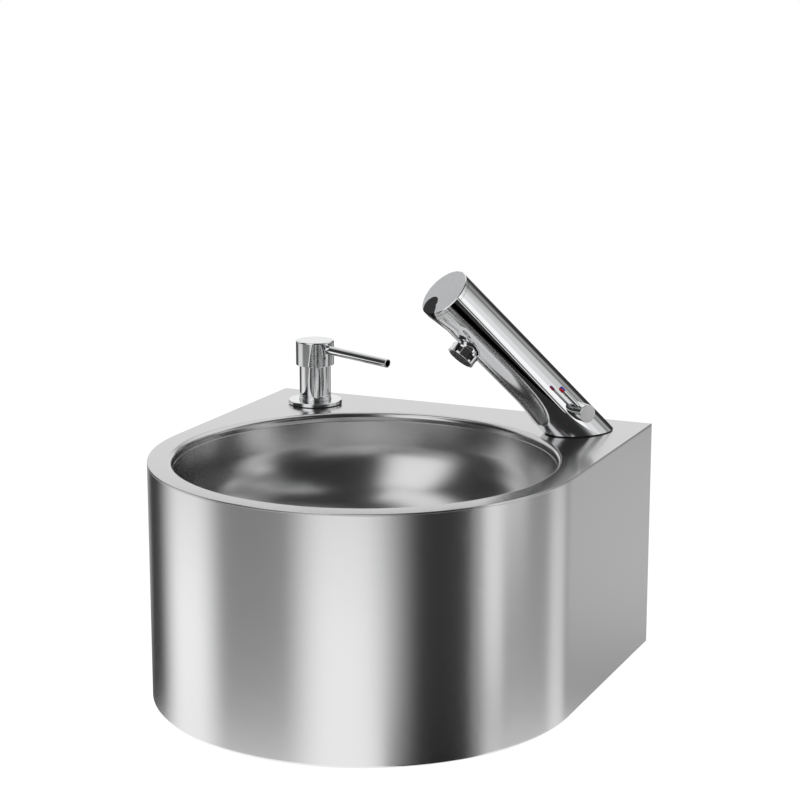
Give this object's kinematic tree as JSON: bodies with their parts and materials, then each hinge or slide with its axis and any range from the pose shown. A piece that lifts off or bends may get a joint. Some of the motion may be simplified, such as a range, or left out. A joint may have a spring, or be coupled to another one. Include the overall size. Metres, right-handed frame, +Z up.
{
  "type": "stainless steel hand wash sink",
  "caption": "Wall-hung steel hand wash basin: round bowl in a deep rounded apron, leaning sensor tap with temperature lever, push soap pump, strainer waste and low trap.",
  "frame": {"origin": "centre of the four wall bolts, on the wall plane, 110 mm below the deck", "axes": "+X to the right as seen from the front, +Y into the wall, +Z up"},
  "size_m": [0.41, 0.4389, 0.3993],
  "materials": {
    "satin_steel": "satin",
    "plain_steel": "mill finish",
    "strainer_steel": "polished",
    "polished_chrome": "mirror polished",
    "satin_chrome": "satin",
    "dark_window": "gloss",
    "black_plastic": "matt",
    "rubber": "matt",
    "white_plastic": "semi-gloss",
    "natural_plastic": "semi-matt",
    "bottle_plastic": "translucent",
    "copper": "drawn",
    "battery_case": "matt",
    "board_green": "semi-gloss",
    "red_mark": "gloss",
    "blue_mark": "gloss"
  },
  "bodies": {
    "basin": {"aerator_insert": "black_plastic", "aerator_ring": "polished_chrome", "aerator_washer": "rubber", "apron": "satin_steel", "back_plate": "satin_steel", "battery": "battery_case", "battery_cradle": "natural_plastic", "bowl": "satin_steel", "circuit_board": "board_green", "clamp_plate": "plain_steel", "clamp_rubber": "rubber", "cold_tail": "copper", "cup_seal": "rubber", "deck_plate": "satin_steel", "dip_tube": "natural_plastic", "end_cap": "satin_chrome", "fixing_stud": "plain_steel", "foot_gasket": "rubber", "guide_bush": "natural_plastic", "hot_tail": "copper", "lower_gasket": "rubber", "mixing_cartridge": "natural_plastic", "mounting_strips": "plain_steel", "outlet_pipe": "natural_plastic", "pump_cylinder": "natural_plastic", "return_spring": "plain_steel", "sensor_module": "black_plastic", "sensor_window": "dark_window", "slip_nuts": "white_plastic", "slip_seals": "rubber", "soap_bottle": "bottle_plastic", "soap_column": "polished_chrome", "soap_flange": "polished_chrome", "soap_gasket": "rubber", "soap_nut": "black_plastic", "soap_washer": "rubber", "solenoid_coil": "black_plastic", "strainer_plate": "strainer_steel", "strainer_screw": "strainer_steel", "stud_nut": "plain_steel", "tap_body": "polished_chrome", "trap_cup": "white_plastic", "trap_head": "white_plastic", "upper_gasket": "rubber", "valve_body": "natural_plastic", "wall_tube": "white_plastic", "waste_body": "white_plastic", "waste_pipe": "white_plastic"},
    "lever": {"lever_hub": "satin_chrome", "hub_screw": "plain_steel", "lever_rod": "polished_chrome", "hot_mark": "red_mark", "cold_mark": "blue_mark", "cartridge_spindle": "plain_steel"},
    "plunger": {"solenoid_plunger": "plain_steel", "plunger_spring": "plain_steel"},
    "pump": {"pump_stem": "plain_steel", "pump_piston": "natural_plastic"},
    "pump_head": {"soap_head": "polished_chrome", "soap_spout": "polished_chrome"}
  },
  "joints": [
    {"name": "temperature_lever", "type": "hinge", "parent": "basin", "child": "lever", "pos_m": [0.15898, -0.08719, 0.13674], "axis": [0.807, -0.5906, 0], "range_deg": [-35, 35]},
    {"name": "valve_plunger", "type": "slide", "parent": "basin", "child": "plunger", "axis": [-0.4241, -0.5795, 0.6959], "range_m": [0, 0.002], "stiffness_N_per_m": 600, "springref_m": -0.002},
    {"name": "pump_press", "type": "slide", "parent": "basin", "child": "pump", "axis": [0, 0, -1], "range_m": [0, 0.009], "stiffness_N_per_m": 300, "springref_m": -0.014, "deforming": ["return_spring"]},
    {"name": "spout_swivel", "type": "hinge", "parent": "pump", "child": "pump_head", "pos_m": [-0.144, -0.051, 0.16], "axis": [0, 0, 1], "range_deg": [-180, 36]}
  ]
}
